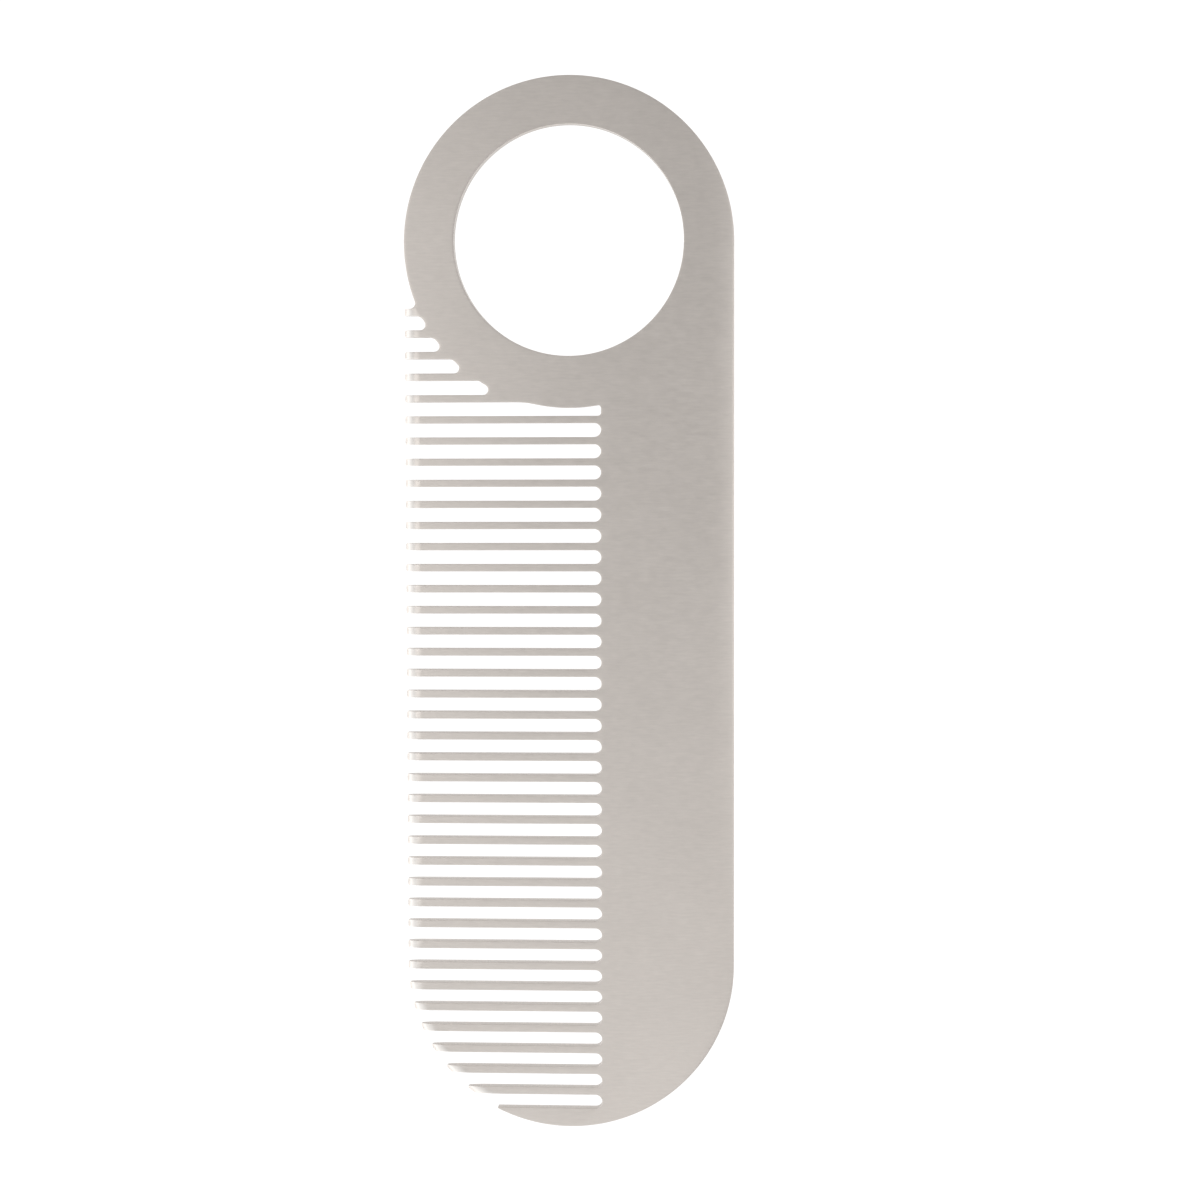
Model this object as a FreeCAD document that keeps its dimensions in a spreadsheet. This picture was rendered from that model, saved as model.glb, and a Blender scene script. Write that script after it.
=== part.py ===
"""Flat steel beard comb: finger ring at one end, solid spine, one row of fine teeth.

The comb lies flat on Z = 0. +Y points to the ring end, +X to the spine, -X to the tooth tips.
The origin is the middle of the underside. All sizes are in millimetres.
"""

import FreeCAD, Part
import math
import os
import Sketcher

from FreeCAD import Placement, Rotation, Vector

# ---------------------------------------------------------------- driving dimensions

DIMENSIONS = {
    "comb_length": 101.6,  # 4 in, ring end to round end
    "comb_width": 31.75,  # 1 1/4 in, spine edge to tooth tips
    "sheet_thickness": 1.2,  # 18 gauge stainless sheet
    "hole_diameter": 22.1,  # finger hole, about 7/8 in
    "hole_rise": 0.18,  # finger hole's centre beyond the ring's centre, towards the end
    "spine_width": 12.8,  # spine edge to the ends of the long slots
    "tooth_width": 0.70,
    "slot_width": 1.34,  # gap between two long teeth
    "tooth_count": 33,  # long teeth on the spine
    "top_tooth_y": 17.95,  # centre line of the long tooth nearest the ring
    "ring_tooth_count": 5,  # teeth that grow out of the ring
    "ring_tooth_y": 19.98,  # centre line of the lowest ring tooth
    "ring_tooth_pitch": 2.08,
    "ring_root_radius": 15.85,  # circle that every slot beside the ring stops at
    "slot_heel_radius": 0.5,  # tight corner of a slot beside the ring
    "slot_shoulder_radius": 1.0,  # wide corner of a slot beside the ring
    "top_slot_corner": 0.3,  # end corners of the slot just under the ring
    "ring_blend_radius": 8.0,  # lowest ring tooth running into the ring
    "spike_blend_radius": 0.5,  # highest ring tooth running into the ring
    "tip_corner_radius": 0.15,  # tooth tips, seen from above
    "tip_land": 0.04,  # flat left between the two rounded edges of a tooth tip
    "guard_tip_radius": 0.05,
    "cut_overrun": 3.0,  # how far a cutting shape runs past the blank
}

# Lengths worked out from the ones above, as formulas in the sheet.
DERIVED = {
    "end_radius": "=comb_width / 2",
    "end_centre_y": "=comb_length / 2 - comb_width / 2",
    "hole_centre_y": "=end_centre_y + hole_rise",
    "tooth_pitch": "=tooth_width + slot_width",
    "slot_end_x": "=comb_width / 2 - spine_width",
    "spine_face_x": "=slot_end_x - slot_width / 2",
    "teeth_top_y": "=top_tooth_y + tooth_width / 2",
    "guard_top_y": "=top_tooth_y - tooth_width / 2 - tooth_pitch * (tooth_count - 1) - slot_width",
    "ring_slot_width": "=ring_tooth_pitch - tooth_width",
    "ring_teeth_base_y": "=ring_tooth_y - tooth_width / 2",
    "ring_split_y": "=(teeth_top_y + ring_teeth_base_y) / 2",
    "tip_nose_radius": "=(sheet_thickness - tip_land) / 2",
    "ring_teeth_top_y": "=ring_tooth_y + tooth_width / 2 + ring_tooth_pitch * (ring_tooth_count - 1)",
}


def make_sheet(doc):
    """Write the dimensions to a spreadsheet, one aliased cell each."""
    sheet = doc.addObject("Spreadsheet::Sheet", "Dims")
    for row, (name, value) in enumerate({**DIMENSIONS, **DERIVED}.items(), start=1):
        sheet.set(f"A{row}", name)
        sheet.set(f"B{row}", str(value))
        sheet.setAlias(f"B{row}", name)
    doc.recompute()
    return sheet


NEAR = 0.02  # how close counts as the same place


# ---------------------------------------------------------------- sketch helpers

START, END, CENTRE = 1, 2, 3  # the points of a line or an arc, as a sketch numbers them
ORIGIN, X_AXIS, Y_AXIS = (-1, 1), -1, -2


def origin_feature(body, role):
    return next(f for f in body.Origin.OriginFeatures if f.Role == role)


def new_sketch(body, name):
    sketch = body.newObject("Sketcher::SketchObject", name)
    sketch.AttachmentSupport = (origin_feature(body, "XY_Plane"), [""])
    sketch.MapMode = "FlatFace"
    return sketch


def drive(sketch, kind, targets, formula, guess):
    """Add a dimension to the sketch and bind it to a formula of sheet cells."""
    index = sketch.addConstraint(Sketcher.Constraint(kind, *targets, guess))
    sketch.setExpression(f"Constraints[{index}]", formula)


def relate(sketch, kind, *targets):
    sketch.addConstraint(Sketcher.Constraint(kind, *targets))


def line(sketch, start, end):
    return sketch.addGeometry(Part.LineSegment(Vector(*start, 0), Vector(*end, 0)))


def arc(sketch, centre, radius, first, last):
    circle = Part.Circle(Vector(*centre, 0), Vector(0, 0, 1), radius)
    return sketch.addGeometry(Part.ArcOfCircle(circle, math.radians(first), math.radians(last)))


def rectangle(sketch, x_low, x_high, y_low, y_high):
    """Draw a free rectangle; returns its bottom, right, top and left sides."""
    corners = [(x_low, y_low), (x_high, y_low), (x_high, y_high), (x_low, y_high)]
    sides = [line(sketch, corners[i], corners[(i + 1) % 4]) for i in range(4)]
    for i in range(4):
        relate(sketch, "Coincident", sides[i], END, sides[(i + 1) % 4], START)
        relate(sketch, "Horizontal" if i % 2 == 0 else "Vertical", sides[i])
    return sides


def circle_sketch(body, name, centre_y, radius):
    """A circle on the comb's middle line; height and radius are given as (value, formula)."""
    sketch = new_sketch(body, name)
    circle = Part.Circle(Vector(0, centre_y[0], 0), Vector(0, 0, 1), radius[0])
    ring = sketch.addGeometry(circle)
    relate(sketch, "PointOnObject", ring, CENTRE, Y_AXIS)
    drive(sketch, "DistanceY", (*ORIGIN, ring, CENTRE), centre_y[1], centre_y[0])
    drive(sketch, "Radius", (ring,), radius[1], radius[0])
    return sketch


# ---------------------------------------------------------------- feature helpers


def pad(body, name, sketch):
    feature = body.newObject("PartDesign::Pad", name)
    feature.Profile = sketch
    feature.setExpression("Length", "Dims.sheet_thickness")
    return feature


def pocket(body, name, sketch):
    """Cut the sketch up through the sheet, which lies above the sketch plane."""
    feature = body.newObject("PartDesign::Pocket", name)
    feature.Profile = sketch
    feature.Type = "ThroughAll"
    feature.Reversed = True
    return feature


def pattern(body, name, original, count_formula, pitch_formula, downwards):
    """Repeat a slot along the comb's length."""
    feature = body.newObject("PartDesign::LinearPattern", name)
    feature.Originals = [original]
    feature.Direction = (origin_feature(body, "Y_Axis"), [""])
    feature.Reversed = downwards
    feature.setExpression("Occurrences", count_formula)
    feature.setExpression("Length", f"({count_formula} - 1) * {pitch_formula}")
    body.Tip = feature
    return feature


def upright_edges(shape, wanted):
    """Names of the straight edges along Z whose place (x, y) is wanted."""
    names = []
    for index, edge in enumerate(shape.Edges, start=1):
        ends = [vertex.Point for vertex in edge.Vertexes]
        if len(ends) != 2 or not isinstance(edge.Curve, Part.Line):
            continue
        if math.hypot(ends[0].x - ends[1].x, ends[0].y - ends[1].y) > NEAR:
            continue
        if wanted(ends[0].x, ends[0].y):
            names.append(f"Edge{index}")
    return names


def fillet(body, name, base, edges, radius_formula):
    feature = body.newObject("PartDesign::Fillet", name)
    feature.Base = (base, edges)
    feature.setExpression("Radius", radius_formula)
    return feature


# ---------------------------------------------------------------- the blank


def outline_sketch(body, dims):
    """Round ends, straight spine edge, straight tip line up to the highest ring tooth."""
    radius, centre_y = dims.end_radius, dims.end_centre_y
    shoulder_y = dims.ring_teeth_top_y
    turn = math.degrees(math.asin((centre_y - shoulder_y) / radius))
    neck_x = -radius * math.cos(math.radians(turn))
    sketch = new_sketch(body, "OutlineSketch")
    ring = arc(sketch, (0, centre_y), radius, 0, 180 + turn)
    shoulder = line(sketch, (neck_x, shoulder_y), (-radius, shoulder_y))
    tips = line(sketch, (-radius, shoulder_y), (-radius, -centre_y))
    end = arc(sketch, (0, -centre_y), radius, 180, 360)
    back = line(sketch, (radius, -centre_y), (radius, centre_y))
    relate(sketch, "Coincident", ring, END, shoulder, START)
    relate(sketch, "Coincident", shoulder, END, tips, START)
    relate(sketch, "Tangent", tips, END, end, START)
    relate(sketch, "Tangent", end, END, back, START)
    relate(sketch, "Tangent", back, END, ring, START)
    relate(sketch, "Horizontal", shoulder)
    relate(sketch, "Vertical", tips)
    relate(sketch, "PointOnObject", ring, CENTRE, Y_AXIS)
    relate(sketch, "PointOnObject", end, CENTRE, Y_AXIS)
    drive(sketch, "Radius", (ring,), "Dims.end_radius", radius)
    drive(sketch, "Radius", (end,), "Dims.end_radius", radius)
    drive(sketch, "DistanceY", (*ORIGIN, ring, CENTRE), "Dims.end_centre_y", centre_y)
    drive(sketch, "DistanceY", (end, CENTRE, *ORIGIN), "Dims.end_centre_y", centre_y)
    drive(sketch, "DistanceY", (*ORIGIN, shoulder, START), "Dims.ring_teeth_top_y", shoulder_y)
    return sketch


def long_slot_sketch(body, dims):
    """The slot under the top long tooth, with a half-round end in the spine."""
    half = dims.slot_width / 2
    middle_y = dims.top_tooth_y - dims.tooth_pitch / 2
    open_x = -dims.end_radius - dims.cut_overrun
    sketch = new_sketch(body, "LongSlotSketch")
    lower = line(sketch, (open_x, middle_y - half), (dims.spine_face_x, middle_y - half))
    end = arc(sketch, (dims.spine_face_x, middle_y), half, -90, 90)
    upper = line(sketch, (dims.spine_face_x, middle_y + half), (open_x, middle_y + half))
    mouth = line(sketch, (open_x, middle_y + half), (open_x, middle_y - half))
    relate(sketch, "Tangent", lower, END, end, START)
    relate(sketch, "Tangent", end, END, upper, START)
    relate(sketch, "Coincident", upper, END, mouth, START)
    relate(sketch, "Coincident", mouth, END, lower, START)
    relate(sketch, "Horizontal", lower)
    relate(sketch, "Vertical", mouth)
    relate(sketch, "Horizontal", upper)
    drive(sketch, "Radius", (end,), "Dims.slot_width / 2", half)
    drive(sketch, "DistanceX", (*ORIGIN, end, CENTRE), "Dims.spine_face_x", dims.spine_face_x)
    drive(sketch, "DistanceX", (lower, START, *ORIGIN), "Dims.end_radius + Dims.cut_overrun", -open_x)
    drive(sketch, "DistanceY", (*ORIGIN, end, CENTRE), "Dims.top_tooth_y - Dims.tooth_pitch / 2", middle_y)
    return sketch


def square_slot_sketch(body, name, dims, low, high):
    """A square-ended slot between two heights, each given as (value, formula)."""
    open_x = -dims.end_radius - dims.cut_overrun
    sketch = new_sketch(body, name)
    bottom, right, top, left = rectangle(sketch, open_x, dims.slot_end_x, low[0], high[0])
    drive(sketch, "DistanceX", (*ORIGIN, right, START), "Dims.slot_end_x", dims.slot_end_x)
    drive(sketch, "DistanceX", (left, START, *ORIGIN), "Dims.end_radius + Dims.cut_overrun", -open_x)
    drive(sketch, "DistanceY", (*ORIGIN, bottom, START), low[1], low[0])
    drive(sketch, "DistanceY", (*ORIGIN, top, START), high[1], high[0])
    return sketch


def make_blank(doc, dims):
    """The comb as it is cut from one sheet."""
    body = doc.addObject("PartDesign::Body", "Blank")
    pad(body, "SheetPad", outline_sketch(body, dims))

    slot = pocket(body, "LongSlot", long_slot_sketch(body, dims))
    pattern(body, "LongSlots", slot, "Dims.tooth_count", "Dims.tooth_pitch", downwards=True)

    low = (dims.teeth_top_y, "Dims.teeth_top_y")
    high = (dims.ring_teeth_base_y, "Dims.ring_teeth_base_y")
    pocket(body, "TopSlot", square_slot_sketch(body, "TopSlotSketch", dims, low, high))

    low_formula = "Dims.ring_tooth_y + Dims.tooth_width / 2"
    low = (dims.ring_tooth_y + dims.tooth_width / 2, low_formula)
    high = (low[0] + dims.ring_slot_width, f"{low_formula} + Dims.ring_slot_width")
    slot = pocket(body, "RingSlot", square_slot_sketch(body, "RingSlotSketch", dims, low, high))
    count_formula = "Dims.ring_tooth_count - 1"
    pattern(body, "RingSlots", slot, count_formula, "Dims.ring_tooth_pitch", downwards=False)

    centre = (dims.end_centre_y, "Dims.end_centre_y")
    radius = (dims.ring_root_radius, "Dims.ring_root_radius")
    pad(body, "RingRoot", circle_sketch(body, "RingRootSketch", centre, radius))
    centre = (dims.hole_centre_y, "Dims.hole_centre_y")
    radius = (dims.hole_diameter / 2, "Dims.hole_diameter / 2")
    pocket(body, "FingerHole", circle_sketch(body, "FingerHoleSketch", centre, radius))
    doc.recompute()
    round_corners(doc, body, dims)
    return body


def round_corners(doc, body, dims):
    """Round the upright corners of the slots and the tooth tips, one kind at a time."""
    centre_y, root = dims.end_centre_y, dims.ring_root_radius
    slot_lows = [
        dims.ring_tooth_y + dims.tooth_width / 2 + i * dims.ring_tooth_pitch
        for i in range(int(dims.ring_tooth_count) - 1)
    ]
    slot_highs = [low + dims.ring_slot_width for low in slot_lows]

    def at_height(y, heights):
        return any(abs(y - height) < NEAR for height in heights)

    def on_root(x, y, heights):
        """True where a side at one of the heights meets the ring's root circle."""
        on_circle = x < 0 and abs(math.hypot(x, y - centre_y) - root) < NEAR
        return on_circle and at_height(y, heights)

    def is_top_slot_end(x, y):
        return abs(x - dims.slot_end_x) < NEAR

    def is_guard_tip(x, y):
        return x < 0 and at_height(y, [dims.guard_top_y])

    def is_tip(x, y):
        """True at a tooth's corner, but not where the tip line turns into the round end."""
        on_line = abs(x + dims.end_radius) < NEAR
        on_end = x < 0 and abs(math.hypot(x, y + centre_y) - dims.end_radius) < NEAR
        above_guard = y > dims.guard_top_y + NEAR
        return (on_line or on_end) and above_guard and not at_height(y, [-centre_y])

    def is_neck(x, y):
        """True where the highest ring tooth meets the ring, but not at that tooth's tip."""
        inside = x > -dims.end_radius + dims.tip_corner_radius
        return inside and at_height(y, [dims.ring_teeth_top_y])

    kinds = [
        ("SlotHeels", lambda x, y: on_root(x, y, slot_lows), "slot_heel_radius"),
        ("SlotShoulders", lambda x, y: on_root(x, y, slot_highs), "slot_shoulder_radius"),
        ("TopSlotCorners", is_top_slot_end, "top_slot_corner"),
        ("RingBlend", lambda x, y: on_root(x, y, [dims.ring_teeth_base_y]), "ring_blend_radius"),
        ("GuardTip", is_guard_tip, "guard_tip_radius"),
        ("TipCorners", is_tip, "tip_corner_radius"),
        ("SpikeBlend", is_neck, "spike_blend_radius"),
    ]
    for name, wanted, alias in kinds:
        base = body.Tip
        edges = upright_edges(base.Shape, wanted)
        fillet(body, name, base, edges, f"Dims.{alias}")
        doc.recompute()


def make_tip_envelope(doc, dims):
    """A slab whose tip line and round end have full-round edges; it trims the tooth tips."""
    body = doc.addObject("PartDesign::Body", "TipEnvelope")
    sketch = new_sketch(body, "EnvelopeSketch")
    radius, centre_y = dims.end_radius, dims.end_centre_y
    far_x = radius + dims.cut_overrun
    top = line(sketch, (far_x, centre_y), (-radius, centre_y))
    tips = line(sketch, (-radius, centre_y), (-radius, -centre_y))
    end = arc(sketch, (0, -centre_y), radius, 180, 270)
    bottom = line(sketch, (0, -centre_y - radius), (far_x, -centre_y - radius))
    far = line(sketch, (far_x, -centre_y - radius), (far_x, centre_y))
    relate(sketch, "Coincident", top, END, tips, START)
    relate(sketch, "Tangent", tips, END, end, START)
    relate(sketch, "Tangent", end, END, bottom, START)
    relate(sketch, "Coincident", bottom, END, far, START)
    relate(sketch, "Coincident", far, END, top, START)
    for level in (top, bottom):
        relate(sketch, "Horizontal", level)
    for upright in (tips, far):
        relate(sketch, "Vertical", upright)
    relate(sketch, "PointOnObject", end, CENTRE, Y_AXIS)
    drive(sketch, "Radius", (end,), "Dims.end_radius", radius)
    drive(sketch, "DistanceY", (end, CENTRE, *ORIGIN), "Dims.end_centre_y", centre_y)
    drive(sketch, "DistanceY", (*ORIGIN, top, START), "Dims.end_centre_y", centre_y)
    drive(sketch, "DistanceX", (*ORIGIN, far, START), "Dims.end_radius + Dims.cut_overrun", far_x)
    slab = pad(body, "EnvelopePad", sketch)
    doc.recompute()

    def on_rim(edge):
        """True for the flat edges, above and below, of the tip line and the round end."""
        box = edge.BoundBox
        return box.ZLength < NEAR and box.XMax < NEAR and box.YLength > dims.cut_overrun

    rim = [f"Edge{i}" for i, edge in enumerate(slab.Shape.Edges, start=1) if on_rim(edge)]
    fillet(body, "EnvelopeNose", slab, rim, "Dims.tip_nose_radius")
    doc.recompute()
    return body


# ---------------------------------------------------------------- the sub-parts


def zone(doc, name, x_low, x_high, y_low, y_high):
    """A box that reaches above and below the sheet; its sides are formulas of sheet cells."""
    box = doc.addObject("Part::Box", name)
    box.setExpression("Placement.Base.x", x_low)
    box.setExpression("Placement.Base.y", y_low)
    box.setExpression("Placement.Base.z", "-Dims.cut_overrun")
    box.setExpression("Length", f"({x_high}) - ({x_low})")
    box.setExpression("Width", f"({y_high}) - ({y_low})")
    box.setExpression("Height", "Dims.sheet_thickness + 2 * Dims.cut_overrun")
    return box


def boolean(doc, kind, name, base, tool):
    feature = doc.addObject(kind, name)
    feature.Base = base
    feature.Tool = tool
    feature.Refine = True
    return feature


def common(doc, name, base, tool):
    return boolean(doc, "Part::Common", name, base, tool)


LEFT = "-Dims.end_radius - Dims.cut_overrun"
RIGHT = "Dims.end_radius + Dims.cut_overrun"
FOOT = "-Dims.comb_length / 2 - Dims.cut_overrun"
HEAD = "Dims.comb_length / 2 + Dims.cut_overrun"
FACE = "Dims.spine_face_x"


def ring_teeth_zones(doc, dims):
    """One box round the straight part of each ring tooth, up to the corner it grows from."""
    count = int(dims.ring_tooth_count)
    boxes = []
    for i in range(count):
        middle = f"(Dims.ring_tooth_y + {i} * Dims.ring_tooth_pitch)"
        corner, circle = "Dims.slot_heel_radius", "Dims.ring_root_radius"
        if i == count - 1:
            corner, circle = "Dims.spike_blend_radius", "Dims.end_radius"
        rise = f"(Dims.end_centre_y - {middle} - Dims.tooth_width / 2 - {corner})"
        root_x = f"-sqrt(({circle} + {corner}) ^ 2 - {rise} ^ 2)"
        reach = "Dims.tooth_pitch / 2"
        y_low, y_high = f"{middle} - {reach}", f"{middle} + {reach}"
        boxes.append(zone(doc, f"RingToothZone{i}", LEFT, root_x, y_low, y_high))
    group = doc.addObject("Part::MultiFuse", "RingTeethZone")
    group.Shapes = boxes
    return group


def make_finger_ring(doc, blank, ring_teeth_zone):
    ring_zone = zone(doc, "RingZone", LEFT, RIGHT, "Dims.ring_split_y", HEAD)
    ring_end = common(doc, "RingEnd", blank, ring_zone)
    return boolean(doc, "Part::Cut", "finger_ring", ring_end, ring_teeth_zone)


def make_spine(doc, blank):
    spine_zone = zone(doc, "SpineZone", FACE, RIGHT, FOOT, "Dims.ring_split_y")
    return common(doc, "spine", blank, spine_zone)


def make_teeth(doc, blank, envelope):
    teeth_zone = zone(doc, "TeethZone", LEFT, FACE, "Dims.guard_top_y", "Dims.ring_split_y")
    square_teeth = common(doc, "SquareTeeth", blank, teeth_zone)
    return common(doc, "teeth", square_teeth, envelope)


def make_ring_teeth(doc, blank, envelope, ring_teeth_zone):
    square_teeth = common(doc, "SquareRingTeeth", blank, ring_teeth_zone)
    return common(doc, "ring_teeth", square_teeth, envelope)


def make_end_guard(doc, blank):
    guard_zone = zone(doc, "GuardZone", LEFT, FACE, FOOT, "Dims.guard_top_y")
    return common(doc, "end_guard", blank, guard_zone)


# ---------------------------------------------------------------- checks and files


def check_document(doc):
    """Stop on any failed object, and on any cut that took nothing away."""
    for item in doc.Objects:
        if {"Invalid", "Error"} & set(item.State):
            raise RuntimeError(f"{item.Name} failed: {item.State}")
        if item.TypeId == "PartDesign::Pocket":
            removed = item.BaseFeature.Shape.Volume - item.Shape.Volume
            if removed <= 0:
                raise RuntimeError(f"{item.Name} cut nothing")


def export(part, solids):
    """Check one sub-part and write it to parts/, named after its label."""
    part.Label = part.Name
    part.Placement = Placement(Vector(0, 0, 0), Rotation())
    shape = part.Shape
    if shape.isNull() or not shape.isValid() or len(shape.Solids) != solids:
        raise RuntimeError(f"{part.Label} is not {solids} valid solid(s)")
    shape.exportStep(f"parts/{part.Label}.step")
    print(f"{part.Label}: {len(shape.Solids)} solid(s), {shape.Volume:.1f} mm3")
    return shape.Volume


def main():
    doc = FreeCAD.newDocument("BeardComb")
    dims = make_sheet(doc)
    blank = make_blank(doc, dims)
    envelope = make_tip_envelope(doc, dims)
    ring_teeth_zone = ring_teeth_zones(doc, dims)
    parts = {
        make_finger_ring(doc, blank, ring_teeth_zone): 1,
        make_spine(doc, blank): 1,
        make_teeth(doc, blank, envelope): int(dims.tooth_count),
        make_ring_teeth(doc, blank, envelope, ring_teeth_zone): int(dims.ring_tooth_count),
        make_end_guard(doc, blank): 1,
    }
    doc.recompute()
    check_document(doc)
    os.makedirs("parts", exist_ok=True)
    total = sum(export(part, solids) for part, solids in parts.items())
    print(f"all sub-parts: {total:.1f} mm3, square blank: {blank.Shape.Volume:.1f} mm3")


main()
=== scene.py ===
"""Looks of the flat steel beard comb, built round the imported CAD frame.

The comb is one blank cut from brushed sheet, so a single seamless mesh stands for all five
CAD nodes. Its outline follows the same dimensions as the CAD model. +Y points to the finger
ring, +X to the spine, -X to the tooth tips, and the comb lies flat on Z = 0.
"""

import math

import bpy
import numpy as np
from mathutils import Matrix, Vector
from mathutils.geometry import delaunay_2d_cdt


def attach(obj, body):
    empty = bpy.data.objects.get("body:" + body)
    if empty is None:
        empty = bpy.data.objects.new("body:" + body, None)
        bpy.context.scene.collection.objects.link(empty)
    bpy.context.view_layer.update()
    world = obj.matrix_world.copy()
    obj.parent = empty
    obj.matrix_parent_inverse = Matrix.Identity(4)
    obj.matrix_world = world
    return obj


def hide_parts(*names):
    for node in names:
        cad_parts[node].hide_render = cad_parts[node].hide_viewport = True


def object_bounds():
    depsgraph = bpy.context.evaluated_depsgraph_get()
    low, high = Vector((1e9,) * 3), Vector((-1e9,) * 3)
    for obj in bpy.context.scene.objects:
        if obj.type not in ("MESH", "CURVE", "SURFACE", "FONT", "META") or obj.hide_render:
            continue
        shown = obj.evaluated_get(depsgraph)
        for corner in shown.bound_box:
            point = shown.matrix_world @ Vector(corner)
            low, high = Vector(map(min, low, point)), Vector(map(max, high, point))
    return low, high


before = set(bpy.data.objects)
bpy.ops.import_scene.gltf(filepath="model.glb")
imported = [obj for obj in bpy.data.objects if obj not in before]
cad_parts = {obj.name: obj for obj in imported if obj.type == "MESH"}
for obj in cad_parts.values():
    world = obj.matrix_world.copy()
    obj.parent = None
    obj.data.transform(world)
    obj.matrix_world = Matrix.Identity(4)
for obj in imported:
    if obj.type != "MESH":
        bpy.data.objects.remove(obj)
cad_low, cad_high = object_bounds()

MM = 0.001

# ---------------------------------------------------------------- dimensions, in millimetres

WIDTH, LENGTH, THICKNESS = ((cad_high - cad_low) / MM)[:]
END_RADIUS = WIDTH / 2
END_Y = LENGTH / 2 - END_RADIUS  # height of both end centres, above and below the middle
HOLE_RADIUS = 11.05
HOLE_OFFSET = 0.18  # how far the hole's centre lies beyond the ring's centre
HOLE_Y = END_Y + HOLE_OFFSET
SPINE_WIDTH = 12.8  # from the spine edge to the ends of the slots
SLOT_END_X = END_RADIUS - SPINE_WIDTH

TOOTH_WIDTH = 0.70
SLOT_WIDTH = 1.34
TOOTH_PITCH = TOOTH_WIDTH + SLOT_WIDTH
TOOTH_COUNT = 33
TOP_TOOTH_Y = 17.95  # middle of the highest long tooth
TOP_SLOT_CORNER = 0.3
GUARD_TOP_Y = TOP_TOOTH_Y - TOOTH_WIDTH / 2 - TOOTH_PITCH * (TOOTH_COUNT - 1) - SLOT_WIDTH
LAST_SLOT_Y = GUARD_TOP_Y + SLOT_WIDTH / 2

RING_TOOTH_COUNT = 5
RING_TOOTH_Y = 19.98  # middle of the lowest tooth that grows out of the ring
RING_TOOTH_PITCH = 2.08
RING_ROOT_RADIUS = 15.85  # the slots beside the ring stop at this circle
RING_BASE_Y = RING_TOOTH_Y - TOOTH_WIDTH / 2
HEEL_RADIUS = 0.5  # lower corner of the end of such a slot
SHOULDER_RADIUS = 1.0  # its upper corner
RING_BLEND_RADIUS = 8.0  # from the lowest ring tooth into the ring
SPIKE_TOP_Y = RING_TOOTH_Y + TOOTH_WIDTH / 2 + RING_TOOTH_PITCH * (RING_TOOTH_COUNT - 1)
SPIKE_BLEND_RADIUS = 0.5  # from the highest ring tooth into the ring

TIP_CORNER_RADIUS = 0.15  # corners of a tooth tip, seen from above
GUARD_TIP_RADIUS = 0.05
TIP_LAND = 0.04  # upright strip at the very end of a rounded tooth tip
NOSE_RISE = (THICKNESS - TIP_LAND) / 2  # half of a rounded tooth tip, seen from the side
NOSE_LENGTH = 1.5  # how far the rounding of a tip runs back along the tooth
EDGE_RADIUS = 0.03  # deburred rim of the whole sheet
ROLL_WIDTH, ROLL_SLOPE = 0.25, 0.05  # the face falls away over this width beside each rim
CROWN_WIDTH, CROWN_SLOPE = 3.5, 0.07  # and over this width towards the spine edge

# ---------------------------------------------------------------- mesh density

ARC_STEP = 0.35  # longest chord on the big arcs
SMALL_ARC_STEPS = 8  # chords on a corner of a slot or a tooth
ROOT_STEPS = 2  # chords along the ring at the end of a slot
TIP_STEPS = 3  # chords along a tooth tip on the round end
TOOTH_ROW_STEP = 1.6  # spacing of the cross rows behind the tip
SPINE_STEP = 0.8  # spacing of the points along the spine edge
NOSE_ROWS = 9  # cross rows on each rounded tooth tip
EDGE_STEPS = 5  # chords across the deburred rim
GRID_STEP = 2.2  # spacing of the points that even out the flats
GRID_CLEARANCE = 1.0  # least distance from those points to the outline

SAME_POINT = 1e-4  # points closer than this are one point
LEVEL_TOLERANCE = 0.001  # lets the points on the highest tooth's upper side count as its own
MERGE_DISTANCE = 1e-7
# Lower limits of the squared rises, where a tip and a rim turn upright, keep slopes finite.
NOSE_LEAST, RIM_LEAST = 1e-6, 1e-8

# ---------------------------------------------------------------- the outline


class Outline:
    """Points along a closed outline, each with the direction that points out of the metal."""

    def __init__(self):
        self.points, self.normals = [], []

    def add(self, x, y, nx, ny):
        if self.points:
            last_x, last_y = self.points[-1]
            if math.hypot(x - last_x, y - last_y) < SAME_POINT:
                return
        self.points.append((x, y))
        self.normals.append((nx, ny))

    def arc(self, centre, radius, start, end, steps=None):
        """An arc between two angles in radians; turning clockwise makes it a hollow one."""
        if steps is None:
            steps = max(2, math.ceil(radius * abs(end - start) / ARC_STEP))
        side = 1 if end > start else -1
        for i in range(steps + 1):
            angle = start + (end - start) * i / steps
            nx, ny = math.cos(angle), math.sin(angle)
            self.add(centre[0] + radius * nx, centre[1] + radius * ny, side * nx, side * ny)

    def level(self, y, xs, ny):
        """Points on a level side of a tooth; ny is 1 on an upper side and -1 on a lower one."""
        for x in xs:
            self.add(x, y, 0, ny)


def nose_depths():
    """Distances from the tip line at which a tooth tip gets a cross row."""
    turns = [math.pi / 2 * i / NOSE_ROWS for i in range(1, NOSE_ROWS + 1)]
    return [NOSE_LENGTH * (1 - math.cos(turn)) for turn in turns]


def tip_x(y, depth=0.0):
    """X of the tip line, or of the round end's arc below it, that far inside the outline."""
    if y >= -END_Y:
        return -END_RADIUS + depth
    return -math.sqrt((END_RADIUS - depth) ** 2 - (y + END_Y) ** 2)


def tooth_row(y, far_x):
    """X of each cross row of a tooth along a side at height y, as far as far_x."""
    rows = [tip_x(y, depth) for depth in nose_depths()]
    x = rows[-1] + 2 * EDGE_RADIUS
    while x < far_x - TOOTH_ROW_STEP / 2:
        rows.append(x)
        x += TOOTH_ROW_STEP
    return [x for x in rows if x < far_x]


def corner_centre(y, radius, side):
    """Centre of a tip corner between a level side at y and the tip line or arc."""
    centre_y = y - side * radius
    return tip_x(centre_y, radius), centre_y


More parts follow.
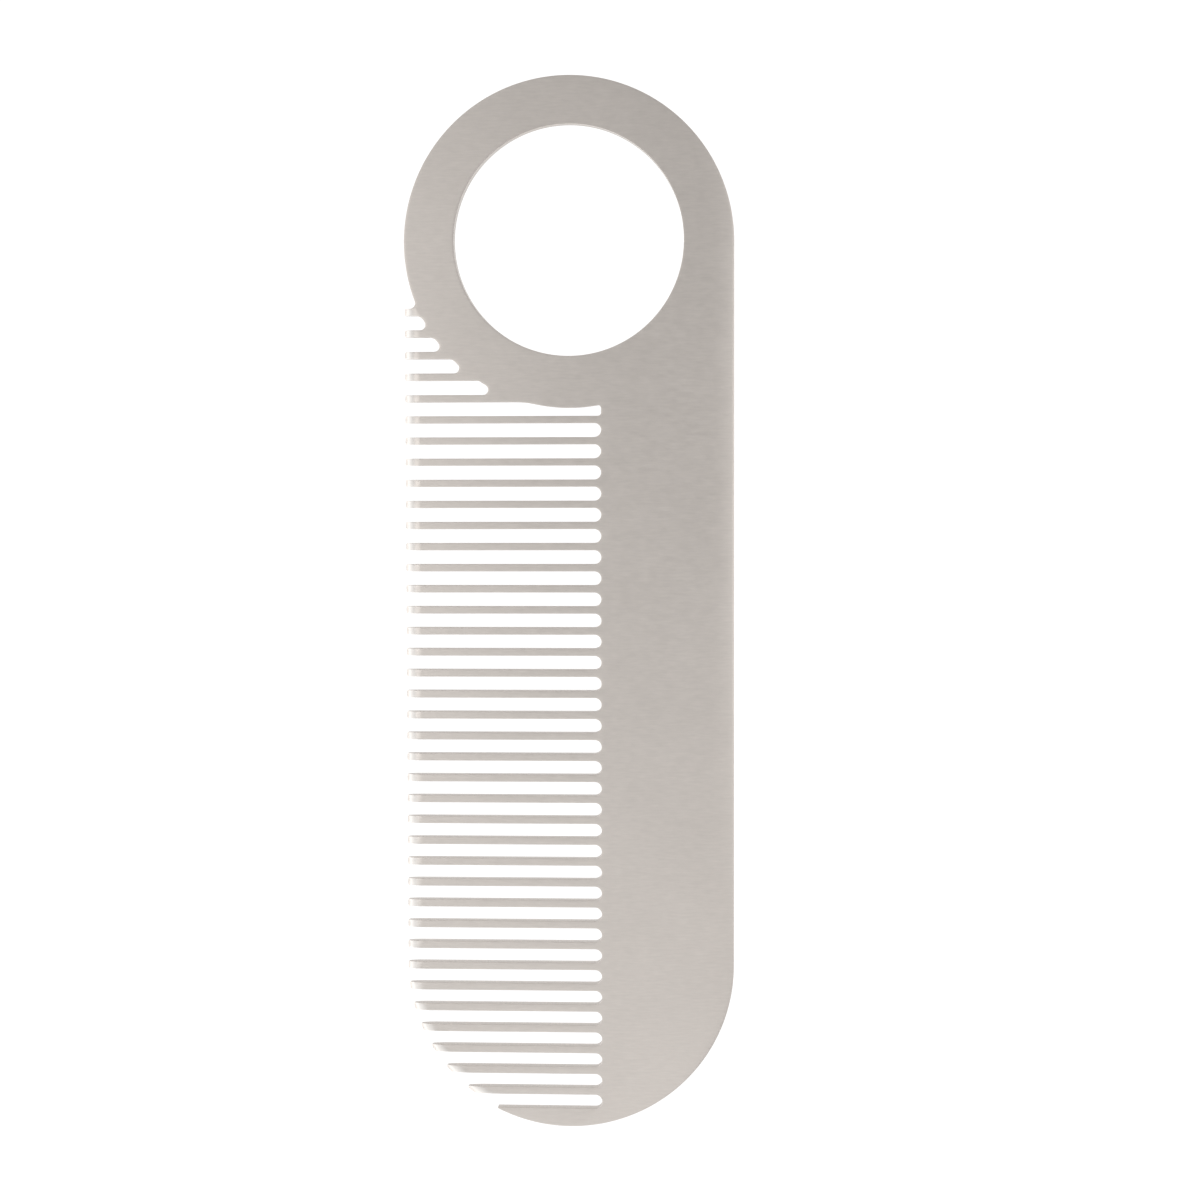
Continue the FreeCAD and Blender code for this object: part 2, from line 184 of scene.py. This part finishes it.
def tip_normal_angle(x, y):
    """Direction out of the metal at a point on the tip line or the round end's arc."""
    if y >= -END_Y:
        return math.pi
    return math.pi + math.atan2(-(y + END_Y), -x)


def add_tooth(path, upper_y, lower_y, upper_end_x, lower_end_x):
    """A tooth from its upper side round the tip to its lower side; the sides stop at end_x."""
    radius = TIP_CORNER_RADIUS
    upper, lower = corner_centre(upper_y, radius, 1), corner_centre(lower_y, radius, -1)
    first, last = tip_normal_angle(*upper), tip_normal_angle(*lower)
    rows = reversed(tooth_row(upper_y, upper_end_x))
    path.level(upper_y, [x for x in rows if x > upper[0]], 1)
    path.arc(upper, radius, math.pi / 2, first, SMALL_ARC_STEPS)
    if last > math.pi:
        path.arc((0, -END_Y), END_RADIUS, first, last, TIP_STEPS)
    path.arc(lower, radius, last, math.pi * 3 / 2, SMALL_ARC_STEPS)
    path.level(lower_y, [x for x in tooth_row(lower_y, lower_end_x) if x > lower[0]], -1)


def outside_ring(y, ring_radius, radius):
    """Centre, at height y, of a hollow corner that touches a circle about the ring's centre."""
    return -math.sqrt((ring_radius + radius) ** 2 - (END_Y - y) ** 2), y


def ring_slot_centres(low, high):
    """Centres of the wide upper corner and the tight lower corner of a slot beside the ring."""
    shoulder = outside_ring(high - SHOULDER_RADIUS, RING_ROOT_RADIUS, SHOULDER_RADIUS)
    heel = outside_ring(low + HEEL_RADIUS, RING_ROOT_RADIUS, HEEL_RADIUS)
    return shoulder, heel


def add_ring_slot(path, shoulder, heel):
    """The end of a slot beside the ring, walked from its upper side to its lower side."""
    high, low = [math.atan2(END_Y - y, -x) for x, y in (shoulder, heel)]
    path.arc(shoulder, SHOULDER_RADIUS, math.pi / 2, high, SMALL_ARC_STEPS)
    path.arc((0, END_Y), RING_ROOT_RADIUS, math.pi + high, math.pi + low, ROOT_STEPS)
    path.arc(heel, HEEL_RADIUS, low, -math.pi / 2, SMALL_ARC_STEPS)


def add_top_slot(path, blend):
    """The slot between the ring and the top long tooth, walked from the ring side."""
    corner = TOP_SLOT_CORNER
    to_ring = math.atan2(END_Y - blend[1], -blend[0])
    path.arc(blend, RING_BLEND_RADIUS, math.pi / 2, to_ring)
    wall_x = SLOT_END_X - corner
    reach = RING_ROOT_RADIUS + corner
    upper = (wall_x, END_Y - math.sqrt(reach**2 - wall_x**2))
    from_ring = math.atan2(upper[1] - END_Y, upper[0])
    path.arc((0, END_Y), RING_ROOT_RADIUS, to_ring - math.pi, from_ring)
    path.arc(upper, corner, from_ring + math.pi, 0, SMALL_ARC_STEPS)
    lower = (wall_x, TOP_TOOTH_Y + TOOTH_WIDTH / 2 + corner)
    path.arc(lower, corner, 0, -math.pi / 2, SMALL_ARC_STEPS)


def add_ring_teeth(path, upper_end_x):
    """The ring teeth from the highest down, and the slots below each of them."""
    half = TOOTH_WIDTH / 2
    for i in reversed(range(1, RING_TOOTH_COUNT)):
        middle = RING_TOOTH_Y + RING_TOOTH_PITCH * i
        shoulder, heel = ring_slot_centres(middle - RING_TOOTH_PITCH + half, middle - half)
        add_tooth(path, middle + half, middle - half, upper_end_x, shoulder[0])
        add_ring_slot(path, shoulder, heel)
        upper_end_x = heel[0]
    blend = outside_ring(RING_BASE_Y - RING_BLEND_RADIUS, RING_ROOT_RADIUS, RING_BLEND_RADIUS)
    add_tooth(path, RING_TOOTH_Y + half, RING_TOOTH_Y - half, upper_end_x, blend[0])
    add_top_slot(path, blend)


def add_long_teeth(path):
    """The long teeth from the highest down, and the slot below each of them."""
    half, slot_radius = TOOTH_WIDTH / 2, SLOT_WIDTH / 2
    for i in range(TOOTH_COUNT):
        middle = TOP_TOOTH_Y - TOOTH_PITCH * i
        upper_end_x = SLOT_END_X - (TOP_SLOT_CORNER if i == 0 else slot_radius)
        slot_centre = (SLOT_END_X - slot_radius, middle - TOOTH_PITCH / 2)
        add_tooth(path, middle + half, middle - half, upper_end_x, slot_centre[0])
        path.arc(slot_centre, slot_radius, math.pi / 2, -math.pi / 2, 2 * SMALL_ARC_STEPS)


def comb_outline():
    """The outer outline, anticlockwise from the top of the spine edge."""
    path = Outline()
    spike = outside_ring(SPIKE_TOP_Y + SPIKE_BLEND_RADIUS, END_RADIUS, SPIKE_BLEND_RADIUS)
    to_ring = math.atan2(END_Y - spike[1], -spike[0])
    path.arc((0, END_Y), END_RADIUS, 0, math.pi + to_ring)
    path.arc(spike, SPIKE_BLEND_RADIUS, to_ring, -math.pi / 2, SMALL_ARC_STEPS)
    add_ring_teeth(path, spike[0])
    add_long_teeth(path)

    guard = corner_centre(GUARD_TOP_Y, GUARD_TIP_RADIUS, 1)
    on_end = tip_normal_angle(*guard)
    path.arc(guard, GUARD_TIP_RADIUS, math.pi / 2, on_end, SMALL_ARC_STEPS)
    path.arc((0, -END_Y), END_RADIUS, on_end, 2 * math.pi)
    for y in np.arange(-END_Y + SPINE_STEP, END_Y - SPINE_STEP / 2, SPINE_STEP):
        path.add(END_RADIUS, y, 1, 0)
    return np.array(path.points), np.array(path.normals)


def hole_outline():
    """The finger hole, clockwise, so that its directions point out of the metal."""
    path = Outline()
    path.arc((0, HOLE_Y), HOLE_RADIUS, 2 * math.pi, 0)
    return np.array(path.points[:-1]), np.array(path.normals[:-1])


# ---------------------------------------------------------------- the surface of the sheet


def nose_shape(x, y):
    """Half thickness and slope on the rounded tooth tips, and the direction in which they rise."""
    on_end = y < -END_Y
    radial = np.stack([x, np.where(on_end, y + END_Y, 0.0)], axis=1)
    reach = np.linalg.norm(radial, axis=1)
    depth = np.where(on_end, END_RADIUS - reach, x + END_RADIUS)
    inward = np.where(on_end[:, None], -radial / reach[:, None], (1.0, 0.0))
    on_tooth = (y < SPIKE_TOP_Y + LEVEL_TOLERANCE) & (y > LAST_SLOT_Y) & (x < 0)
    run = np.where(on_tooth, np.clip(1 - depth / NOSE_LENGTH, 0, 1), 0)
    rise = np.sqrt(np.maximum(1 - run**2, NOSE_LEAST))
    return TIP_LAND / 2 + NOSE_RISE * rise, NOSE_RISE / NOSE_LENGTH * run / rise, inward


def rim_shape(inset):
    """Share of the half thickness that is left beside a rim, and the slope there."""
    run = max(EDGE_RADIUS - inset, 0)
    rise = math.sqrt(max(EDGE_RADIUS**2 - run**2, RIM_LEAST))
    roll_span = ROLL_WIDTH - EDGE_RADIUS
    roll_run = min((ROLL_WIDTH - inset) / roll_span, 1)
    roll_drop = ROLL_SLOPE * roll_span / 2 * roll_run**2
    share = 1 - (EDGE_RADIUS - rise + roll_drop) / (THICKNESS / 2)
    return share, run / rise + ROLL_SLOPE * roll_run


def crown_shape(x, y):
    """Fall of a face towards the spine edge, its slope, and the direction in which it falls."""
    from_middle = np.stack([x, np.sign(y) * np.maximum(np.abs(y) - END_Y, 0)], axis=1)
    distance = np.linalg.norm(from_middle, axis=1)
    outward = from_middle / distance[:, None]
    steepness = CROWN_SLOPE * np.maximum(outward[:, 0], 0)
    run = np.clip(1 - (END_RADIUS - distance) / CROWN_WIDTH, 0, 1)
    return steepness * CROWN_WIDTH / 3 * run**3, steepness * run**2, outward


def surface(points, normals, inset):
    """Half thickness and upward normals at points that lie inset inside the outline."""
    x, y = points.T
    nose, nose_slope, inward = nose_shape(x, y)
    share, rim_slope = rim_shape(inset)
    crown_drop, crown_slope, outward = crown_shape(x, y)
    rise = (nose_slope * share)[:, None] * inward
    rise -= (nose * rim_slope / (THICKNESS / 2))[:, None] * normals
    rise -= crown_slope[:, None] * outward
    up = np.concatenate([-rise, np.ones((len(x), 1))], axis=1)
    return nose * share - crown_drop, up / np.linalg.norm(up, axis=1)[:, None]


# ---------------------------------------------------------------- the mesh

BRUSH_MAP = "brush_direction"
FACE_SLOT, WALL_SLOT = 0, 1
WALL_SHEAR = 3  # leans the brush map over, so that it does not collapse on the upright walls


def clearance(x, y, edge):
    """Distance from a place to the nearest point of the outlines."""
    return np.min(np.hypot(edge[:, 0] - x, edge[:, 1] - y))


def on_flat(x, y):
    """Whether a place is on the spine, the ring or the foot, and not on a tooth or in a gap."""
    radius = math.hypot(x, abs(y) - END_Y)
    in_spine = x > SLOT_END_X and abs(y) < END_Y
    in_hole = math.hypot(x, y - HOLE_Y) < HOLE_RADIUS
    in_ring = y > RING_BASE_Y and radius < RING_ROOT_RADIUS and not in_hole
    in_foot = y < -END_Y and x > SLOT_END_X and radius < END_RADIUS
    return in_spine or in_ring or in_foot


def face_points(outlines):
    """Free points on a face: where it starts to fall to the rims, and a staggered grid."""
    edge = np.concatenate([points for points, _ in outlines])
    shelf = np.concatenate([points - out * ROLL_WIDTH for points, out in outlines])
    free = ROLL_WIDTH - EDGE_RADIUS / 2
    found = [(x, y) for x, y in shelf if clearance(x, y, edge) > free]
    rows = int(LENGTH / GRID_STEP)
    for row in range(rows + 1):
        y = -LENGTH / 2 + LENGTH * row / rows
        shift = GRID_STEP / 2 * (row % 2)
        for x in np.arange(-END_RADIUS + shift, END_RADIUS, GRID_STEP):
            if on_flat(x, y) and clearance(x, y, edge) > GRID_CLEARANCE:
                found.append((x, y))
    return np.array(found)


def in_metal(x, y, starts, ends):
    """Whether a line from a place towards +X crosses the rims' edges an odd number of times."""
    spans = (starts[:, 1] > y) != (ends[:, 1] > y)
    (ax, ay), (bx, by) = starts[spans].T, ends[spans].T
    crossings = np.count_nonzero(ax + (y - ay) * (bx - ax) / (by - ay) > x)
    return crossings % 2 == 1


def flat_triangles(rims, grid):
    """Triangles that fill one face of the sheet, as numbers of the rims' and grid's points."""
    points = np.concatenate([*rims, grid])
    edges, first = [], 0
    for rim in rims:
        edges += [(first + i, first + (i + 1) % len(rim)) for i in range(len(rim))]
        first += len(rim)
    corners = [Vector(point) for point in points]
    _, _, faces, sources, _, _ = delaunay_2d_cdt(corners, edges, [], 0, MERGE_DISTANCE, True)
    triangles = np.array([[sources[i][0] for i in face] for face in faces])
    starts, ends = points[[a for a, _ in edges]], points[[b for _, b in edges]]
    middles = points[triangles].mean(axis=1)
    return triangles[[in_metal(x, y, starts, ends) for x, y in middles]]


class Sheet:
    """The vertices, normals and faces that the comb's mesh is put together from."""

    def __init__(self):
        self.vertices, self.normals, self.faces, self.slots = [], [], [], []

    def add_points(self, points, out, inset, side):
        """Points on the upper face, or the lower one if side is -1; gives the first's number."""
        first = len(self.vertices)
        half, up = surface(points, out, inset)
        middle = THICKNESS / 2
        self.vertices += [(x, y, middle + side * h) for (x, y), h in zip(points, half)]
        self.normals += [(nx, ny, side * nz) for nx, ny, nz in up]
        return first

    def add_face(self, corners, slot):
        self.faces.append(corners)
        self.slots.append(slot)

    def mesh(self, name):
        mesh = bpy.data.meshes.new(name)
        mesh.from_pydata([Vector(place) * MM for place in self.vertices], [], self.faces)
        mesh.polygons.foreach_set("use_smooth", [True] * len(self.faces))
        mesh.polygons.foreach_set("material_index", self.slots)
        mesh.validate()
        mesh.normals_split_custom_set_from_vertices(self.normals)
        return mesh


def comb_mesh():
    """The whole comb as one closed mesh: walls, deburred rims, flats and rounded tips."""
    outlines = [comb_outline(), hole_outline()]
    turns = [math.pi / 2 * k / EDGE_STEPS for k in range(EDGE_STEPS + 1)]
    insets = [EDGE_RADIUS * (1 - math.cos(turn)) for turn in turns]
    rims = [points - out * EDGE_RADIUS for points, out in outlines]
    grid = face_points(outlines)
    triangles = flat_triangles(rims, grid)

    sheet = Sheet()
    firsts = {}
    for side in (1, -1):
        for k, inset in enumerate(insets):
            for loop, (points, out) in enumerate(outlines):
                at = points - out * inset
                firsts[side, k, loop] = sheet.add_points(at, out, inset, side)
        grid_first = sheet.add_points(grid, np.zeros_like(grid), ROLL_WIDTH, side)
        ids = []
        for loop, rim in enumerate(rims):
            first = firsts[side, EDGE_STEPS, loop]
            ids += range(first, first + len(rim))
        ids += range(grid_first, grid_first + len(grid))
        for triangle in triangles:
            face = [ids[corner] for corner in triangle]
            sheet.add_face(face if side > 0 else face[::-1], FACE_SLOT)

    for loop, (points, _) in enumerate(outlines):
        levels = [firsts[-1, k, loop] for k in reversed(range(EDGE_STEPS + 1))]
        levels += [firsts[1, k, loop] for k in range(EDGE_STEPS + 1)]
        for low, high in zip(levels, levels[1:]):
            slot = WALL_SLOT if low == firsts[-1, 0, loop] else FACE_SLOT
            for i in range(len(points)):
                j = (i + 1) % len(points)
                sheet.add_face([low + i, low + j, high + j, high + i], slot)

    mesh = sheet.mesh("comb_blank")
    add_brush_map(mesh)
    return mesh


def add_brush_map(mesh):
    """A map whose first axis runs across the brushing, to give the shader its direction."""
    layer = mesh.uv_layers.new(name=BRUSH_MAP)
    for loop in mesh.loops:
        x, y, z = mesh.vertices[loop.vertex_index].co / MM
        layer.data[loop.index].uv = ((y + z) / LENGTH, (x + z / WALL_SHEAR) / LENGTH)


# ---------------------------------------------------------------- material

USUAL_NOISE = (0.25, 0.75)  # nearly all values of the noise are between these
HIGHLIGHT_TILT = (0.9985, 0.915)  # upward part of the normal where the painted highlight starts, and is full
# how much brighter the colour gets on tooth tips and rims, a painted highlight
TIP_HIGHLIGHT_GAIN = 1.5
BRUSH_DEPTH, PIT_DEPTH = 0.001, 0.004  # millimetres


class Shading:
    """A node tree with the few node chains that both finishes of the steel are made of."""

    def __init__(self, name):
        self.material = bpy.data.materials.new(name)
        self.material.use_nodes = True
        self.tree = self.material.node_tree
        self.tree.nodes.clear()
        self.place = self.node("ShaderNodeTexCoord").outputs["Object"]

    def node(self, kind, **settings):
        made = self.tree.nodes.new(kind)
        for name, value in settings.items():
            setattr(made, name, value)
        return made

    def link(self, source, target):
        self.tree.links.new(source, target)

    def grain(self, size, detail):
        """Noise whose features have that size in millimetres along X, Y and Z."""
        mapping = self.node("ShaderNodeMapping")
        mapping.inputs["Scale"].default_value = [1 / (length * MM) for length in size]
        self.link(self.place, mapping.inputs["Vector"])
        noise = self.node("ShaderNodeTexNoise", noise_dimensions="3D")
        noise.inputs["Scale"].default_value = 1.0
        noise.inputs["Detail"].default_value = detail
        self.link(mapping.outputs["Vector"], noise.inputs["Vector"])
        return noise.outputs["Fac"]

    def spread(self, value, source, target):
        """A value moved from one range of numbers to another, and kept inside the new one."""
        span = self.node("ShaderNodeMapRange")
        span.inputs["From Min"].default_value, span.inputs["From Max"].default_value = source
        span.inputs["To Min"].default_value, span.inputs["To Max"].default_value = target
        self.link(value, span.inputs["Value"])
        return span.outputs["Result"]

    def between(self, noise, low, high):
        """The noise's usual range stretched to run from low to high."""
        return self.spread(noise, USUAL_NOISE, (low, high))

    def painted_highlight(self, most):
        """Painted highlight: 1 on the flat faces, rising to most where the metal turns away, as on
        a tooth tip.
        """
        normal = self.node("ShaderNodeNewGeometry").outputs["Normal"]
        split = self.node("ShaderNodeSeparateXYZ")
        self.link(normal, split.inputs["Vector"])
        upright = self.node("ShaderNodeMath", operation="ABSOLUTE")
        self.link(split.outputs["Z"], upright.inputs[0])
        return self.spread(upright.outputs["Value"], HIGHLIGHT_TILT, (1.0, most))

    def product(self, *values):
        total = values[0]
        for value in values[1:]:
            times = self.node("ShaderNodeMath", operation="MULTIPLY")
            self.link(total, times.inputs[0])
            self.link(value, times.inputs[1])
            total = times.outputs["Value"]
        return total

    def finish(self, colour, shade, roughness, height, depth, anisotropy):
        """The steel itself; depth is the height of its bump in millimetres."""
        tint = self.node("ShaderNodeMix", data_type="RGBA", blend_type="MULTIPLY")
        tint.inputs["Factor"].default_value = 1.0
        tint.inputs["A"].default_value = (*colour, 1)
        grey = self.node("ShaderNodeCombineColor")
        for channel in ("Red", "Green", "Blue"):
            self.link(shade, grey.inputs[channel])
        self.link(grey.outputs["Color"], tint.inputs["B"])
        bump = self.node("ShaderNodeBump")
        bump.inputs["Distance"].default_value = depth * MM
        self.link(height, bump.inputs["Height"])
        shader = self.node("ShaderNodeBsdfPrincipled")
        shader.inputs["Metallic"].default_value = 1.0
        shader.inputs["Anisotropic"].default_value = anisotropy
        self.link(tint.outputs["Result"], shader.inputs["Base Color"])
        self.link(roughness, shader.inputs["Roughness"])
        self.link(bump.outputs["Normal"], shader.inputs["Normal"])
        if anisotropy > 0:
            across = self.node("ShaderNodeTangent", direction_type="UV_MAP", uv_map=BRUSH_MAP)
            self.link(across.outputs["Tangent"], shader.inputs["Tangent"])
        output = self.node("ShaderNodeOutputMaterial")
        self.link(shader.outputs["BSDF"], output.inputs["Surface"])
        return self.material


def brushed_steel():
    """The faces: satin stainless, brushed along X, with fine streaks and a faint cloudiness.

    Tooth tips and rims get a painted highlight: their colour is made brighter than the flats where
    the metal turns away.
    """
    steel = Shading("brushed_steel")
    hairline = steel.grain(size=(1.3, 0.18, 0.4), detail=2.0)
    streak = steel.grain(size=(0.9, 0.40, 0.8), detail=2.0)
    cloud = steel.grain(size=(9.0, 6.0, 6.0), detail=1.0)
    shade = steel.product(
        steel.between(hairline, 0.965, 1.035),
        steel.between(streak, 0.975, 1.025),
        steel.between(cloud, 0.985, 1.015),
        # painted highlight: brighter colour on tooth tips and rims
        steel.painted_highlight(TIP_HIGHLIGHT_GAIN),
    )
    return steel.finish(
        colour=(0.624, 0.578, 0.539),
        shade=shade,
        roughness=steel.between(streak, 0.31, 0.37),
        height=hairline,
        depth=BRUSH_DEPTH,
        anisotropy=0.6,
    )


def cut_steel_with_painted_shade():
    """The walls that were cut through the sheet: duller and without brushing, and coloured a
    little darker than the faces, which is painted shade.
    """
    steel = Shading("cut_steel_with_painted_shade")
    pitting = steel.grain(size=(0.12, 0.12, 0.5), detail=3.0)
    return steel.finish(
        # a little darker than the faces: painted shade on the slot walls
        colour=(0.58, 0.537, 0.502),
        shade=steel.between(pitting, 0.85, 1.15),
        roughness=steel.between(pitting, 0.42, 0.55),
        height=pitting,
        depth=PIT_DEPTH,
        anisotropy=0.0,
    )


# ---------------------------------------------------------------- pieces


def add_to_scene(name, data):
    made = bpy.data.objects.new(name, data)
    bpy.context.scene.collection.objects.link(made)
    return made


def make_comb():
    comb = add_to_scene("comb_blank", comb_mesh())
    comb.data.materials.append(brushed_steel())  # FACE_SLOT
    comb.data.materials.append(cut_steel_with_painted_shade())  # WALL_SLOT
    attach(comb, "root")
    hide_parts("finger_ring", "spine", "teeth", "ring_teeth", "end_guard")


# ---------------------------------------------------------------- studio

FLOOR_REACH = 40 * LENGTH * MM
FLOOR_GAP = 0.05  # millimetres below the comb
FLOOR_GREY, FLOOR_ROUGHNESS, FLOOR_GLOW = 0.05, 0.9, 1.05
WORLD_GLOW = 0.39

LIGHT_DISTANCE = 600.0  # millimetres
RIGHT, BACK, LEFT, FRONT = 0, 90, 180, 270  # degrees round Z
HIGH, MIDDLE, LOW = 18, 36, 57  # degrees down from straight overhead
SMALL, WIDE = (9, 9), (50, 30)  # half angles that a light fills, sideways and up and down
WHITE, COOL_WHITE = (1, 1, 1), (0.94, 1.0, 1.05)

CAMERA_PLACE = (16.7, 13.1, 249.6)  # millimetres
CAMERA_TILT, CAMERA_TURN, CAMERA_ROLL = -2.89, 3.16, -0.12  # degrees about X, Y and Z
CAMERA_LENS, CAMERA_SENSOR = 77.5, 36.0
CAMERA_CLIP = (0.01, 10.0)  # metres


def make_floor():
    """A white sweep that shows no shadow, like a lit product table."""
    mesh = bpy.data.meshes.new("floor")
    reach = FLOOR_REACH
    corners = [(-reach, -reach, 0), (reach, -reach, 0), (reach, reach, 0), (-reach, reach, 0)]
    mesh.from_pydata(corners, [], [(0, 1, 2, 3)])
    floor = add_to_scene("floor", mesh)
    floor.location.z = -FLOOR_GAP * MM
    material = bpy.data.materials.new("floor_white")
    material.use_nodes = True
    shader = material.node_tree.nodes["Principled BSDF"]
    shader.inputs["Base Color"].default_value = (FLOOR_GREY, FLOOR_GREY, FLOOR_GREY, 1)
    shader.inputs["Specular IOR Level"].default_value = 0.0
    shader.inputs["Roughness"].default_value = FLOOR_ROUGHNESS
    shader.inputs["Emission Color"].default_value = (*WHITE, 1)
    shader.inputs["Emission Strength"].default_value = FLOOR_GLOW
    mesh.materials.append(material)


def make_light(name, azimuth, lean, spread, radiance, colour=WHITE):
    """A soft box aimed at the comb; lean is its angle from straight overhead."""
    turn, lean = math.radians(azimuth), math.radians(lean)
    level = math.sin(lean)
    away = Vector((level * math.cos(turn), level * math.sin(turn), math.cos(lean)))
    data = bpy.data.lights.new(name, "AREA")
    data.shape = "RECTANGLE"
    sides = (2 * LIGHT_DISTANCE * MM * math.tan(math.radians(angle)) for angle in spread)
    data.size, data.size_y = sides
    data.energy = math.pi * data.size * data.size_y * radiance
    data.color = colour
    light = add_to_scene(name, data)
    light.location = away * LIGHT_DISTANCE * MM
    light.rotation_euler = away.to_track_quat("Z", "Y").to_euler()


def make_lights():
    make_light("soft_box_left_high", LEFT, HIGH, SMALL, 2.1)
    make_light("soft_box_left_low", LEFT + 25, LOW, WIDE, 0.85, COOL_WHITE)
    make_light("soft_box_right_high", RIGHT, HIGH, SMALL, 1.9)
    make_light("soft_box_right_low", RIGHT, LOW, WIDE, 0.25, COOL_WHITE)
    make_light("soft_box_back_high", BACK, HIGH, SMALL, 0.35)
    make_light("soft_box_front_high", FRONT, HIGH, SMALL, 0.8)
    make_light("soft_box_front_low", FRONT, MIDDLE, SMALL, 0.95)
    world = bpy.data.worlds.new("studio")
    world.use_nodes = True
    background = world.node_tree.nodes["Background"]
    background.inputs["Color"].default_value = (*WHITE, 1)
    background.inputs["Strength"].default_value = WORLD_GLOW
    bpy.context.scene.world = world


def make_camera():
    """Nearly straight above the comb, tilted and turned by about three degrees."""
    data = bpy.data.cameras.new("camera")
    data.lens, data.sensor_width = CAMERA_LENS, CAMERA_SENSOR
    data.clip_start, data.clip_end = CAMERA_CLIP
    camera = add_to_scene("camera", data)
    camera.location = Vector(CAMERA_PLACE) * MM
    camera.rotation_euler = [math.radians(a) for a in (CAMERA_TILT, CAMERA_TURN, CAMERA_ROLL)]
    bpy.context.scene.camera = camera


def write_sizes():
    """Updates the view layer."""
    bpy.context.view_layer.update()


make_comb()
make_floor()
make_lights()
make_camera()
bpy.context.scene.view_settings.view_transform = "Standard"
write_sizes()
